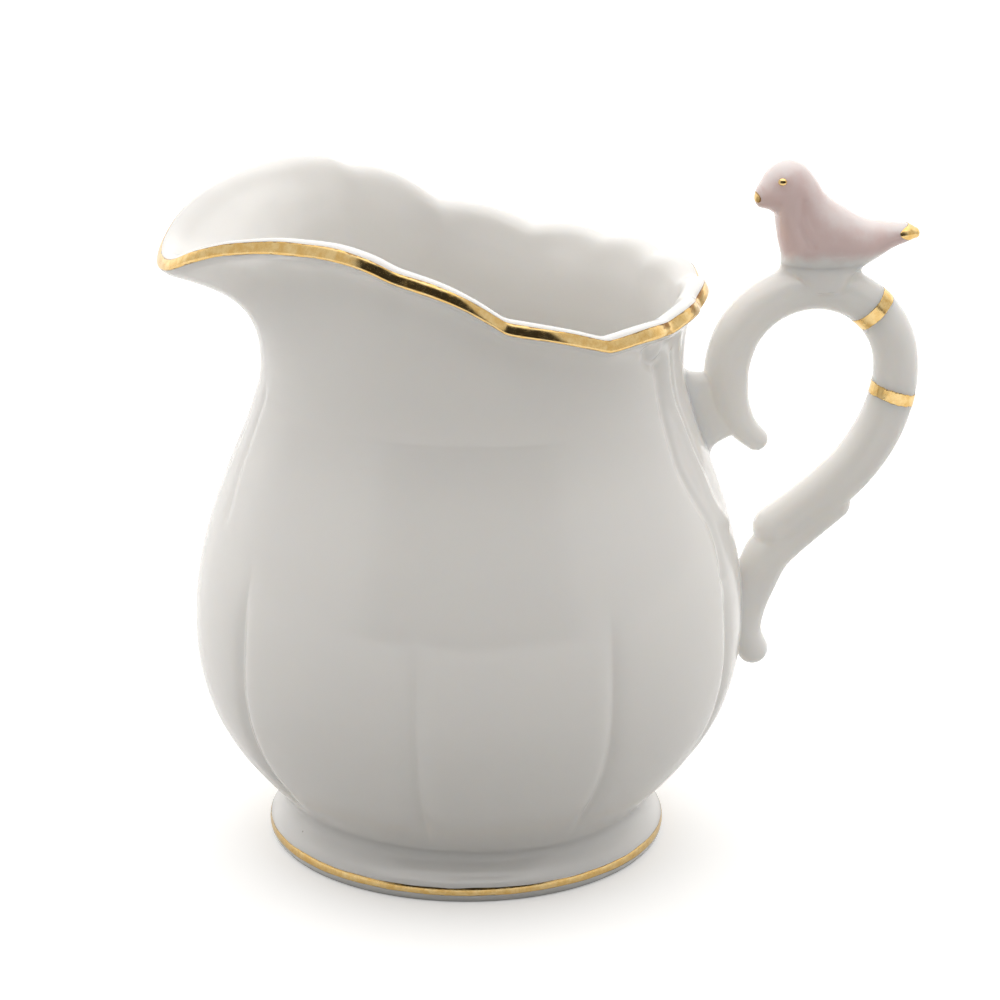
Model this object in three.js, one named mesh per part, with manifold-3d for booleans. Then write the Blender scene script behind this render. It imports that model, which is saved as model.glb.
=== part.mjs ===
// A porcelain cream jug: a pear-shaped, lobed body on a flared foot, with a scalloped rim drawn out
// into a wide pouring lip, a handle of two scrolls, a small bird on top of the handle, and gilding
// along the rim, the foot, the handle, and the bird's beak, eyes and tail.
//
// Millimetres, +Z up. The jug is drawn about the middle of its foot, with the handle towards +X and
// the lip towards -X; the last lines move the origin to the bottom centre of its bounding box.
import * as THREE from 'three';
import { mergeVertices } from 'three/addons/utils/BufferGeometryUtils.js';
import { ParametricGeometry } from 'three/addons/geometries/ParametricGeometry.js';
import Module from 'manifold-3d';

const wasm = await Module();
wasm.setup();

// ---- Driving dimensions -------------------------------------------------------------------------

const TURN = 2 * Math.PI;
const GAP = 0.3; // between pieces that are luted or fired together
const ROUND = 64; // steps round the body, the foot and their gilding
const BACK_ROOM = 30; // a cutting block reaches this far past what it cuts
const CAP_STEPS = 3; // rings in each round end of a rod
const BEAM_STEPS = 6; // rings along the lug and the perch
const WELD = 1e-4; // corners closer than this are one

// The outside of the body below the neck: radius and height, from the foot up.
const BODY_OUTLINE = [
  [30.3, 8.6], [34.3, 13], [38.2, 18], [41.3, 24], [43.1, 31], [43.4, 39],
  [42.5, 47], [40.4, 55], [37.9, 62], [35.2, 69], [33.4, 75],
];
const BODY_STEPS = 14;
const NECK_RADIUS = 33.1;
const NECK_HEIGHT = 78;
const NECK_LEAN = 0.8; // the neck's centre leans this far towards the handle
const LIP_STEPS = 8; // from the neck up to the rim
// The curve from the neck out to the rim: how far its lower handle stands below the rim and in from
// the neck, and its upper handle below and in from the rim. The spout adds to each, from LIP_START
// degrees round to the tip.
const FLARE = { lowerDrop: 7, lowerIn: 0, upperDrop: 4.6, upperIn: 2.9 };
const SPOUT_FLARE = { lowerDrop: 1.5, lowerIn: 0.4, upperDrop: 1.7, upperIn: 7.5 };
const LIP_START = 110;
const WALL = 3;
const RIM_THICKNESS = 2.8;
const RIM_SWELL = 0.75; // the wall turns from one to the other above this share of its rise
const FLOOR_HEIGHT = 12.4; // the inside of the bottom
const FLOOR_ROWS = 2; // rows of the wall that lie below the rounded edge of the floor
const FLOOR_ROUNDING = 3; // how far in from the wall the flat of the floor begins

// Half of the rim, from the handle round to the lip: degrees, radius and height of each cusp, and
// how far the arc after it bulges out and up. Past the last cusp the lip is one smooth sweep.
const RIM_CUSPS = [
  [0, 37.2, 90.8, 0.6, 1], [20.8, 36.6, 91.2, 0.8, 0.9], [41.6, 37, 91.1, 0.8, 0.7],
  [63.7, 37.3, 91.2, 0.9, 0.6], [89.3, 35.8, 95.4, 0.9, 1.4], [114.8, 36.1, 102.6],
];
// The rim's edge beyond the end of the wall, out and up from the rim line: a step for the gilding
// and a rounded crest. The gilding fills the step.
const FLARE_END = [-1.2, -3];
const RIM_EDGE = [[-0.25, -2.1], [-0.85, -2.1], [-0.85, -0.1], [-1.4, 0.15]];
const RIM_GILDING = [[-0.55, -1.8], [0, -1.8], [0, -0.1], [-0.55, 0.1]];
const LIP_SWEEP = [
  [114.8, 36.1, 102.6], [122, 37.1, 104.6], [130, 37.2, 105.5], [138, 38, 105.6], [148, 39.7, 105.1],
  [158, 42.9, 103.6], [165, 45.6, 101.5], [172, 47.5, 98.9], [180, 48.1, 97.9],
];

// Eight soft creases part the belly into lobes: degrees from the handle, on both sides.
const CREASES = [29.5, 67.5, 109, 152.5];
const CREASE_DEPTH = 0.9;
const CREASE_WIDTH = 4.5; // degrees
const CREASE_ENDS = [9, 16, 44, 56]; // they rise out of the foot and die away between these heights

// The foot, a hollow ring: radius and height, anticlockwise from the inner edge of its flat base.
const FOOT_SECTION = [
  [28.4, 0], [31.3, 0], [31.7, 0.5], [31.7, 1.1], [30.9, 1.1], [30.9, 2.8], [31.5, 2.9], [31.2, 3.3],
  [30.3, 4.1], [29.5, 5.1], [29.1, 6.3], [29.2, 7.4], [29.9, 8.3], [26.8, 8.3], [26.2, 5.5], [27.2, 1.5],
];
const FOOT_GILDING = [[31.2, 1.4], [31.75, 1.4], [31.75, 2.6], [31.2, 2.6]];

// The handle is a rod bent in the XZ plane: its upper scroll is most of a ring with a free curl.
const RING_CENTRE = [55.2, 74.5];
const RING_RADIUS = 13.75;
const ROD_RADIUS = 3.6;
const ROD_SIDES = 16;
const CURL = [[46.5, 63.4, 1.9], [44.3, 65.6, 2.3], [42.5, 68.8, 2.9], [41.6, 72, 3.4]]; // x, z, radius
const RING_ANGLES = [172, 150, 128, 106, 84, 62, 40, 18, -4];
const LOWER_LIMB = [[68.1, 68.6, 3.7], [66, 63.4, 3.8], [62.6, 58.4, 3.8], [58.3, 54.3, 3.8],
  [53.9, 50.9, 3.7], [50, 48.3, 3.6]];
const LOWER_SCROLL = [[59.5, 51.9, 2.7], [56.2, 49.6, 3], [52.4, 46.7, 3.2], [48.9, 43.9, 3.7],
  [47.2, 39.4, 3.2], [45.8, 35, 2.9], [45.4, 31, 2.7], [46.8, 27.7, 2.5]];
// The lug between the ring and the neck: x, z, half height and half width.
const LUG = [[33, 67.6, 7.6, 2.7], [38, 68.5, 6.4, 2.5], [43, 69.4, 4.8, 2.3]];

// Gilded bands round the rod: where each sits on the ring, in degrees, and how wide it is.
const BANDS = { handle_band_upper: { angle: 46, width: 2.2 }, handle_band_lower: { angle: -18, width: 2 } };
const BAND_DEPTH = 0.5;
const BAND_CLEAR = 1; // the groove for a band is cut from this far outside the rod

// The bird, beak to tail: a point on its back, the point under it, and the half width there.
const BIRD = [
  [46.1, 104.9, 46.2, 101.7, 1.9], [47.2, 107.1, 47.6, 101.1, 3], [48.9, 108.6, 48.6, 100.2, 3.6],
  [50.9, 109, 48.8, 98.9, 3.9], [53, 108.1, 49, 97.2, 4], [54.8, 106, 49.3, 95.6, 4.2],
  [56.2, 103.8, 49.8, 93.8, 4.5], [57.7, 102.4, 50.4, 91.8, 4.8], [59.6, 101.2, 54, 91, 4.9],
  [61.5, 100, 58, 91, 4.7], [63.4, 99.1, 61.8, 91.2, 4.1], [65.5, 98.7, 64.6, 92.5, 3.3],
  [67.8, 98.4, 67.4, 94.2, 2.7], [70, 98, 69.6, 95.1, 2.3], [71.3, 97.3, 71, 95.7, 1.6],
];
const BEAK_TIP = [45.6, 103.2];
const TAIL_TIP = [71.8, 96.4];
const BIRD_SIDES = 20;
const BIRD_STEPS = 26;
const BIRD_BASE = 92.5; // the glaze changes from pink to white at this height
const BEAK_EDGE = 46.8; // the beak's gilding ends here
const BEAK_TOP = 104.1; // and here
const TAIL_EDGE = 68.8; // and the tail's begins here
const EYE = { x: 49, y: 3.1, z: 106.2, radius: 0.8, flatness: 0.7, sides: 12, rows: 8 };
// The white pad between the bird and the rod: front, back, half width and height of each layer.
const PERCH = [[51.2, 61.4, 3, 87], [50.9, 61.8, 3.4, 89.6], [50.6, 62.1, 3.8, 91], [50.4, 64, 4.2, 92.2]];

// ---- Glazes -------------------------------------------------------------------------------------

const glaze = (color) => new THREE.MeshStandardMaterial({ color, roughness: 0.12, metalness: 0 });
const whiteGlaze = () => glaze(0xe9e6e1);
const pinkGlaze = () => glaze(0xd3bcbd);
const gold = () => new THREE.MeshStandardMaterial({ color: 0xd9a441, roughness: 0.2, metalness: 1 });

// ---- Curves and lofts ---------------------------------------------------------------------------

const degrees = THREE.MathUtils.degToRad;
const smooth = (value, low, high) => THREE.MathUtils.smoothstep(value, low, high);

// Degrees from the handle, counted the same way on both sides of the jug.
const turnFrom = (angle) => Math.abs(((angle + 540) % 360) - 180);

// Points of any dimension read along a smooth curve through them; `at` runs from 0 to 1.
function along(points, at) {
  const place = Math.min(Math.max(at, 0), 1) * (points.length - 1);
  const i = Math.min(Math.floor(place), points.length - 2);
  const t = place - i;
  const before = points[Math.max(i - 1, 0)];
  const after = points[Math.min(i + 2, points.length - 1)];
  return points[i].map((start, k) => {
    const end = points[i + 1][k];
    const out = (end - before[k]) / 2;
    const back = (after[k] - start) / 2;
    const bend = 3 * (end - start) - 2 * out - back;
    const twist = 2 * (start - end) + out + back;
    return start + t * (out + t * (bend + t * twist));
  });
}

// The same curve read at a given value of the points' first number, which rises along it.
function lookUp(points, value) {
  let i = 0;
  while (i < points.length - 2 && value > points[i + 1][0]) i += 1;
  const share = (value - points[i][0]) / (points[i + 1][0] - points[i][0]);
  return along(points, (i + share) / (points.length - 1));
}

// A closed skin whose rings are given by ring(step): a function from an angle to a point. The first
// and last rings may shrink to a point, or `looped` joins the last ring to the first.
function skin(steps, sides, ring, looped = false) {
  const rings = looped ? steps : steps + 1;
  const makers = Array.from({ length: rings }, (_, step) => ring(step));
  const geometry = new ParametricGeometry((u, v, target) => {
    const step = Math.round(v * steps) % rings;
    target.copy(makers[step](u === 1 ? 0 : u * TURN));
  }, sides, steps);
  return solidOf(geometry);
}

// manifold-3d's solid for a geometry, turned the right way out if its faces point in.
function solidOf(geometry) {
  const bare = geometry.clone();
  bare.deleteAttribute('normal');
  bare.deleteAttribute('uv');
  const merged = mergeVertices(bare, WELD);
  const place = merged.attributes.position;
  const corners = [];
  for (let i = 0; i < merged.index.count; i += 3) {
    const [a, b, c] = [0, 1, 2].map((k) => merged.index.getX(i + k));
    if (a !== b && b !== c && c !== a) corners.push(a, b, c);
  }
  if (volumeOf(place, corners) < 0) {
    for (let i = 0; i < corners.length; i += 3) {
      [corners[i], corners[i + 1]] = [corners[i + 1], corners[i]];
    }
  }
  return new wasm.Manifold(new wasm.Mesh({
    numProp: 3,
    vertProperties: new Float32Array(place.array),
    triVerts: new Uint32Array(corners),
  }));
}

function volumeOf(place, corners) {
  const [a, b, c] = [new THREE.Vector3(), new THREE.Vector3(), new THREE.Vector3()];
  let total = 0;
  for (let i = 0; i < corners.length; i += 3) {
    a.fromBufferAttribute(place, corners[i]);
    b.fromBufferAttribute(place, corners[i + 1]);
    c.fromBufferAttribute(place, corners[i + 2]);
    total += a.dot(b.cross(c)) / 6;
  }
  return total;
}

function block(x0, x1, z0, z1) {
  const box = new THREE.BoxGeometry(x1 - x0, 2 * BACK_ROOM, z1 - z0);
  box.translate((x0 + x1) / 2, 0, (z0 + z1) / 2);
  return solidOf(box);
}

// ---- Body ---------------------------------------------------------------------------------------

// The rim at an angle in degrees from the handle, on either side: [radius, height].
function rimAt(angle) {
  const turn = turnFrom(angle);
  const lastCusp = RIM_CUSPS[RIM_CUSPS.length - 1][0];
  if (turn >= lastCusp) return lookUp(LIP_SWEEP, turn).slice(1);
  let i = 0;
  while (turn > RIM_CUSPS[i + 1][0]) i += 1;
  const [from, to] = [RIM_CUSPS[i], RIM_CUSPS[i + 1]];
  const share = (turn - from[0]) / (to[0] - from[0]);
  const arc = Math.sin(Math.PI * share);
  return [1, 2].map((k) => THREE.MathUtils.lerp(from[k], to[k], share) + from[k + 2] * arc);
}

function creaseAt(angle, height) {
  const turn = turnFrom(angle);
  const [foot, low, high, end] = CREASE_ENDS;
  const strength = smooth(height, foot, low) * (1 - smooth(height, high, end));
  const cut = CREASES.reduce((sum, at) => sum + Math.exp(-(((turn - at) / CREASE_WIDTH) ** 2)), 0);
  return CREASE_DEPTH * strength * cut;
}

// The outside of the wall at one angle, from the foot to the rim, grown outwards by `extra`.
function outsideAt(angle, extra = 0) {
  const facing = Math.cos(degrees(angle));
  const points = [];
  for (let step = 0; step <= BODY_STEPS; step += 1) {
    const [radius, height] = along(BODY_OUTLINE, step / BODY_STEPS);
    const lean = NECK_LEAN * (height / NECK_HEIGHT) * facing;
    points.push([radius + lean - creaseAt(angle, height) + extra, height]);
  }
  const [rimRadius, rimHeight] = rimAt(angle);
  const pour = smooth(turnFrom(angle), LIP_START, 180);
  const neck = NECK_RADIUS + NECK_LEAN * facing;
  const reach = (key) => FLARE[key] + SPOUT_FLARE[key] * pour;
  const flare = new THREE.CubicBezierCurve(
    new THREE.Vector2(neck, NECK_HEIGHT),
    new THREE.Vector2(neck - reach('lowerIn'), rimHeight - reach('lowerDrop')),
    new THREE.Vector2(rimRadius - reach('upperIn'), rimHeight - reach('upperDrop')),
    new THREE.Vector2(rimRadius + FLARE_END[0], rimHeight + FLARE_END[1]),
  );
  for (const point of flare.getSpacedPoints(LIP_STEPS)) points.push([point.x + extra, point.y]);
  return points;
}

// Moves each point of an open outline to its left by `distance`, which may change along it.
function offset(points, distance) {
  return points.map(([x, y], i) => {
    const [x0, y0] = points[Math.max(i - 1, 0)];
    const [x1, y1] = points[Math.min(i + 1, points.length - 1)];
    const length = Math.hypot(x1 - x0, y1 - y0);
    const reach = distance(i / (points.length - 1));
    return [x - (reach * (y1 - y0)) / length, y + (reach * (x1 - x0)) / length];
  });
}

// How thick the wall is at a share of the way up: it swells into the rim.
const wallAt = (share) => WALL + (RIM_THICKNESS - WALL) * smooth(share, RIM_SWELL, 1);

// Points placed out and up from the rim line at one angle.
function fromRim(offsets, angle) {
  const [radius, height] = rimAt(angle);
  return offsets.map(([out, up]) => [radius + out, height + up]);
}

// The body's whole section at one angle: bottom, outside, edge of the rim, inside, floor.
function bodySection(angle) {
  const outside = outsideAt(angle);
  const inside = offset(outside, wallAt).slice(FLOOR_ROWS).reverse();
  const floorEdge = [inside[inside.length - 1][0] - FLOOR_ROUNDING, FLOOR_HEIGHT];
  return [
    [0, outside[0][1]], ...outside, ...fromRim(RIM_EDGE, angle), ...inside, floorEdge, [0, FLOOR_HEIGHT],
  ];
}

function spun([radius, height], angle) {
  return new THREE.Vector3(radius * Math.cos(angle), radius * Math.sin(angle), height);
}

// A skin whose every section, from the axis or round a ring, comes from sectionAt(degrees).
function moulded(sectionAt, looped = false) {
  const sections = Array.from({ length: ROUND }, (_, i) => sectionAt((360 * i) / ROUND));
  const steps = sections[0].length - (looped ? 0 : 1);
  return skin(steps, ROUND, (step) => (angle) => (
    spun(sections[Math.round((angle / TURN) * ROUND) % ROUND][step], angle)), looped);
}

const jugBody = () => moulded(bodySection);

// The body as if solid, and a gap larger: what is luted to the body is cut back with it.
function bodyClearance() {
  return moulded((angle) => {
    const outside = outsideAt(angle, GAP);
    return [[0, outside[0][1] - GAP], ...outside, [0, outside[outside.length - 1][1]]];
  });
}

const rimGilding = () => moulded((angle) => fromRim(RIM_GILDING, angle), true);

// ---- Foot ---------------------------------------------------------------------------------------

function turned(section) {
  const closed = [...section, section[0]].map(([radius, height]) => new THREE.Vector2(radius, height));
  const geometry = new THREE.LatheGeometry(closed, ROUND);
  geometry.rotateX(Math.PI / 2);
  return solidOf(geometry);
}

const footRing = () => turned(FOOT_SECTION);

const footGilding = () => turned(FOOT_GILDING);

// ---- Handle -------------------------------------------------------------------------------------

// A rod along points of x, z and radius, with round ends, grown by `extra` all over.
function rod(points, extra = 0) {
  const steps = (points.length - 1) * 2;
  const total = steps + 2 * CAP_STEPS;
  const nudge = 0.01;
  return skin(total, ROD_SIDES, (step) => {
    const inside = Math.min(Math.max(step - CAP_STEPS, 0), steps);
    const at = inside / steps;
    const [x, z, radius] = along(points, at);
    const [x0, z0] = along(points, at - nudge);
    const [x1, z1] = along(points, at + nudge);
    const forward = new THREE.Vector3(x1 - x0, 0, z1 - z0).normalize();
    const side = new THREE.Vector3(-forward.z, 0, forward.x);
    const past = (step - CAP_STEPS - inside) / CAP_STEPS;
    const shrink = Math.cos((past * Math.PI) / 2);
    const reach = Math.sin((past * Math.PI) / 2) * (radius + extra);
    const centre = new THREE.Vector3(x, 0, z).addScaledVector(forward, reach);
    const size = Math.abs(past) === 1 ? 0 : (radius + extra) * shrink;
    return (angle) => centre.clone()
      .addScaledVector(side, size * Math.cos(angle))
      .add(new THREE.Vector3(0, size * Math.sin(angle), 0));
  });
}

const onRing = (angle, radius = RING_RADIUS) => [
  RING_CENTRE[0] + radius * Math.cos(degrees(angle)),
  RING_CENTRE[1] + radius * Math.sin(degrees(angle)),
];

const UPPER_SCROLL = [
  ...CURL,
  ...RING_ANGLES.map((angle) => [...onRing(angle), ROD_RADIUS]),
  ...LOWER_LIMB,
];

// A short sleeve round the rod, between its inner and outer radius.
function sleeve({ angle, width }, inner, outer) {
  const section = [[inner, -width / 2], [outer, -width / 2], [outer, width / 2], [inner, width / 2]];
  const [x, z] = onRing(angle);
  const centre = new THREE.Vector3(x, 0, z);
  const spoke = new THREE.Vector3(Math.cos(degrees(angle)), 0, Math.sin(degrees(angle)));
  const forward = new THREE.Vector3(-spoke.z, 0, spoke.x);
  return skin(section.length, ROD_SIDES, (step) => (turn) => centre.clone()
    .addScaledVector(forward, section[step][1])
    .addScaledVector(spoke, section[step][0] * Math.cos(turn))
    .add(new THREE.Vector3(0, section[step][0] * Math.sin(turn), 0)), true);
}

const bandOf = (band) => sleeve(band, ROD_RADIUS - BAND_DEPTH, ROD_RADIUS);
const bandRoom = ({ angle, width }) => (
  sleeve({ angle, width: width + 2 * GAP }, ROD_RADIUS - BAND_DEPTH - GAP, ROD_RADIUS + BAND_CLEAR));

function upperScroll() {
  return Object.values(BANDS).reduce((solid, band) => solid.subtract(bandRoom(band)), rod(UPPER_SCROLL));
}

const upperRoom = () => rod(UPPER_SCROLL, GAP);

function lowerScroll(bodyRoom) {
  return rod(LOWER_SCROLL).subtract(upperRoom()).subtract(bodyRoom);
}

// The lug that joins the ring to the neck: a short beam of oval section.
function lug(bodyRoom) {
  const beam = skin(BEAM_STEPS + 2, ROD_SIDES, (step) => {
    const at = Math.min(Math.max(step - 1, 0), BEAM_STEPS) / BEAM_STEPS;
    const [x, z, halfHeight, halfWidth] = along(LUG, at);
    const size = step === 0 || step === BEAM_STEPS + 2 ? 0 : 1;
    return (angle) => new THREE.Vector3(
      x,
      size * halfWidth * Math.sin(angle),
      z + size * halfHeight * Math.cos(angle),
    );
  });
  return beam.subtract(upperRoom()).subtract(bodyRoom);
}

// ---- Bird ---------------------------------------------------------------------------------------

const BIRD_SPINE = [[...BEAK_TIP, ...BEAK_TIP, 0], ...BIRD, [...TAIL_TIP, ...TAIL_TIP, 0]];

function wholeBird() {
  return skin(BIRD_STEPS, BIRD_SIDES, (step) => {
    const [backX, backZ, underX, underZ, width] = along(BIRD_SPINE, step / BIRD_STEPS);
    const middle = new THREE.Vector3((backX + underX) / 2, 0, (backZ + underZ) / 2);
    const rise = new THREE.Vector3((backX - underX) / 2, 0, (backZ - underZ) / 2);
    return (angle) => middle.clone()
      .addScaledVector(rise, Math.cos(angle))
      .add(new THREE.Vector3(0, width * Math.sin(angle), 0));
  });
}

function eye(side, extra = 0) {
  const size = EYE.radius + extra;
  const ball = new THREE.SphereGeometry(size, EYE.sides, EYE.rows);
  ball.scale(1, EYE.flatness, 1);
  ball.translate(EYE.x, side * EYE.y, EYE.z);
  return solidOf(ball);
}

function perch() {
  return skin(BEAM_STEPS + 2, BIRD_SIDES, (step) => {
    const at = Math.min(Math.max(step - 1, 0), BEAM_STEPS) / BEAM_STEPS;
    const [front, back, width, z] = along(PERCH, at);
    const size = step === 0 || step === BEAM_STEPS + 2 ? 0 : 1;
    return (angle) => new THREE.Vector3(
      (front + back) / 2 + (size * (back - front) * Math.cos(angle)) / 2,
      size * width * Math.sin(angle),
      z,
    );
  }).subtract(upperRoom());
}

function birdPieces() {
  const whole = wholeBird();
  const top = BIRD_BASE + BACK_ROOM;
  const aboveBase = block(BEAK_TIP[0] - BACK_ROOM, TAIL_TIP[0] + BACK_ROOM, BIRD_BASE, top);
  const ahead = (x, ceiling) => block(x - BACK_ROOM, x, BIRD_BASE, ceiling);
  const behind = (x) => block(x, x + BACK_ROOM, BIRD_BASE, top);
  return {
    bird: whole.intersect(aboveBase)
      .subtract(ahead(BEAK_EDGE + GAP, BEAK_TOP + GAP))
      .subtract(behind(TAIL_EDGE - GAP))
      .subtract(eye(1, GAP))
      .subtract(eye(-1, GAP)),
    bird_beak_gilding: whole.intersect(ahead(BEAK_EDGE, BEAK_TOP)),
    bird_tail_gilding: whole.intersect(behind(TAIL_EDGE)),
  };
}

// ---- Assembly -----------------------------------------------------------------------------------

const jug = new THREE.Group();

function add(name, solid, material) {
  const { vertProperties, triVerts } = solid.getMesh();
  const geometry = new THREE.BufferGeometry();
  geometry.setAttribute('position', new THREE.BufferAttribute(new Float32Array(vertProperties), 3));
  geometry.setIndex(new THREE.BufferAttribute(new Uint32Array(triVerts), 1));
  geometry.computeVertexNormals();
  const mesh = new THREE.Mesh(geometry, material);
  mesh.name = name;
  jug.add(mesh);
}

const bodyRoom = bodyClearance();
add('jug_body', jugBody(), whiteGlaze());
add('foot_ring', footRing(), whiteGlaze());
add('rim_gilding', rimGilding(), gold());
add('foot_gilding', footGilding(), gold());
add('handle_lug', lug(bodyRoom), whiteGlaze());
add('handle_upper_scroll', upperScroll(), whiteGlaze());
add('handle_lower_scroll', lowerScroll(bodyRoom), whiteGlaze());
for (const [name, band] of Object.entries(BANDS)) add(name, bandOf(band), gold());
add('bird_perch', perch(), whiteGlaze());
const { bird, ...birdGilding } = birdPieces();
add('bird', bird, pinkGlaze());
for (const [name, solid] of Object.entries(birdGilding)) add(name, solid, gold());
add('bird_eye_left', eye(-1), gold());
add('bird_eye_right', eye(1), gold());

const bounds = new THREE.Box3().setFromObject(jug);
jug.position.set(-(bounds.min.x + bounds.max.x) / 2, 0, -bounds.min.z);

export default jug;
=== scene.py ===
"""A porcelain cream jug with a scalloped gilded rim, a scroll handle and a small pink bird on top.

Lengths in the tables are millimetres in the jug's own frame: its axis stands at x = 0, the foot rests
on z = 0 and the handle lies towards +x. `place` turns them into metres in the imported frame.
"""

import math

import bpy
import numpy as np
from mathutils import Matrix, Vector


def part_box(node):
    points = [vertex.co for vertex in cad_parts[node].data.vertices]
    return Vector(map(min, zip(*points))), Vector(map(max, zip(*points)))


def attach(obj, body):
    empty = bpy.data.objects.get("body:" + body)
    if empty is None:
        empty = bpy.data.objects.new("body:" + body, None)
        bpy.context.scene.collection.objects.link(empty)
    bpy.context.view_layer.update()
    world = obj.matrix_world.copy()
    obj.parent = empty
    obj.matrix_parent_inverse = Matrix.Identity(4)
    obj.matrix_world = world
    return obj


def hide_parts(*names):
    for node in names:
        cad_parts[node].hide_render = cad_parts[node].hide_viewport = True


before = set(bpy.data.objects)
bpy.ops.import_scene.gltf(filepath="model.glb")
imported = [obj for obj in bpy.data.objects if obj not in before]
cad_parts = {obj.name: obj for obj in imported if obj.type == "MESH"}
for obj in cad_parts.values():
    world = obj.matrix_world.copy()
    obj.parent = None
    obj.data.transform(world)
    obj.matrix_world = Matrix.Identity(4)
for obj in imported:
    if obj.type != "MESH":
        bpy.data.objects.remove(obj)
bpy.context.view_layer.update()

MM = 0.001
foot_low, foot_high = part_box("foot_ring")
AXIS_X = (foot_low[0] + foot_high[0]) / 2 / MM

# ---- Camera and light -------------------------------------------------------------------------

CAMERA_TARGET = (5.3, 0, 55.1)
CAMERA_DISTANCE = 654
CAMERA_ELEVATION = 19.3
CAMERA_AZIMUTH = -9.1
CAMERA_ROLL = 0.3
CAMERA_LENS = 148.68
FLOOR_SIZE = 6.0

# ---- Foot and body ----------------------------------------------------------------------------

ROUND = 900
OUTLINE = [
    (31.0, 0.05), (31.5, 0.3), (31.72, 0.9), (31.76, 1.6), (31.74, 2.3), (31.55, 2.9), (31.1, 3.4),
    (30.3, 4.15), (29.6, 5.1), (29.2, 6.2), (29.3, 7.3), (30.2, 8.5), (34.3, 13), (38.2, 18),
    (41.3, 24), (43.1, 31), (43.4, 39), (42.5, 47), (40.4, 55), (37.9, 62), (35.2, 69), (33.4, 75),
]
FOOT_TOP = 7.0
NECK_RADIUS = 33.1
NECK_HEIGHT = 78
NECK_LEAN = 0.8
WALL = 3.0
RIM_THICKNESS = 2.8
FLOOR_HEIGHT = 12.4
ROW_LENGTH = 0.35
WALL_LENGTH = 130
WALL_SOFTENING = 10
OUTLINE_SAMPLES = 200
FLARE_SAMPLES = 60
# The neck's outline above OUTLINE, which the handle's fillets meet.
NECK_LINE = [(33.1, 78), (33.4, 82), (34.6, 86)]
# The two bends of the flare, in and down from the neck and the rim, and how much more at the lip.
FLARE_LOW_DROP = 7
FLARE_LOW_POUR = (0.4, 1.5)
FLARE_HIGH = (2.9, 4.6)
FLARE_HIGH_POUR = (7.5, 1.7)
LIP_START = 110

# The floor inside: where its cove leaves the wall, how far in it reaches, and the rings of the flat.
COVE_HEIGHT = 3.2
COVE_CORNER = 2.2
COVE_WIDTH = 9
COVE_ROWS = 14
FLOOR_RINGS = [0.75, 0.5, 0.25, 0.08]
UNDERSIDE_RING = 0.04

# The recess inside the foot, from the body down to the flat ring it stands on: radius, height.
RECESS_TOP_RADIUS = 26.9
FOOT_RECESS = [(26.6, 6.4), (26.3, 5.2), (26.5, 3.6), (27.2, 1.6), (27.9, 0.4), (28.5, 0.05)]
RECESS_ROWS = 30

# Cusps between the scallops: degrees from the handle, radius, height, bulge out and up after it.
RIM_CUSPS = [
    (0, 37.2, 90.8, 0.6, 1.0), (20.8, 36.6, 91.2, 0.8, 0.9), (41.6, 37, 91.1, 0.8, 0.7),
    (63.7, 37.3, 91.2, 0.9, 0.6), (89.3, 35.8, 95.4, 0.9, 1.4), (114.8, 36.1, 102.6, 0, 0),
]
LIP_SWEEP = [
    (114.8, 36.1, 102.6), (122, 37.1, 104.6), (130, 37.2, 105.5), (138, 38, 105.6), (148, 39.7, 105.1),
    (158, 42.9, 103.6), (165, 45.6, 101.5), (172, 47.5, 98.9), (180, 48.1, 97.9),
]
# The rounded edge of the rim, out and up from the rim line, from the flare to the inner wall.
RIM_EDGE = [
    (-1.25, -3.1), (-0.62, -2.65), (-0.12, -2.25), (0, -1.9), (-0.17, -1.35), (-0.45, -0.75),
    (-0.85, -0.22), (-1.4, 0.1),
]
RIM_EDGE_STEP = 0.18
RIM_SOFTENING = 14
# Share of the wall's length from which it thins towards the rim.
RIM_THINNING = 0.75
# The roll from the rim's top into the inner wall: how far down, its fullness and its rows.
LIP_DEPTH = 4.0
LIP_FULLNESS = 0.45
LIP_ROWS = 16
# Rows on either side of the rim's edge that are rounded off, and how often.
EDGE_REACH = 6
EDGE_SOFTENING = 3

# Gilding: its lower and upper border, as heights from the rim line or from the table, its rows, and
# the wander of each border. RIM_GOLD_START is the number of the wall's last rows it is read from.
RIM_GOLD = (-2.1, -0.3)
RIM_GOLD_ROWS = 15
RIM_GOLD_START = 12
RIM_GOLD_WANDER = (0.07, 0.05)
FOOT_GOLD = (1.35, 2.6)
FOOT_GOLD_ROWS = 13
FOOT_GOLD_WANDER = (0.05, 0.05)
GOLD_PROUD = 0.045
GOLD_DEPTH = 0.3

# Grooves between the belly's lobes, in degrees from the handle, and their ends by height.
GROOVES = [29.5, 67.5, 109, 152.5]
GROOVE_DEPTH = 0.75
GROOVE_WIDTH = 1.3
GROOVE_SHARPNESS = 1.3
GROOVE_ENDS = [(9, 16, 40, 54), (9, 16, 40, 54), (9, 16, 34, 50), (9, 16, 40, 56)]

# The moulded rib beside the handle: (degrees from the handle, height) along its left groove, its
# crest, its right groove and the small scroll at its top.
RIB_LEFT = [
    (40.3, 82.6), (38.8, 80.1), (37.1, 76.3), (36.5, 73), (36.2, 69.3), (36, 66.3), (34.4, 62.9),
    (31.8, 59.3), (29.6, 56.4), (28.8, 53), (29, 48),
]
RIB_CREST = [
    (43.6, 86.6), (40.8, 86.2), (38, 85), (35.8, 83.3), (33.1, 79.2), (29.7, 74.3), (28, 71.5),
    (26.6, 67.5), (25.6, 63.5), (24.2, 58.3), (18, 54.3),
]
RIB_RIGHT = [(33.6, 84), (32.3, 82.2), (29.6, 78.4), (26.3, 73.4), (24.5, 70), (23.5, 66.8), (22.8, 64.5)]
RIB_SCROLL = [(50, 87.4), (47.8, 85.4), (45, 84.2), (41.2, 83.3)]
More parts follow.
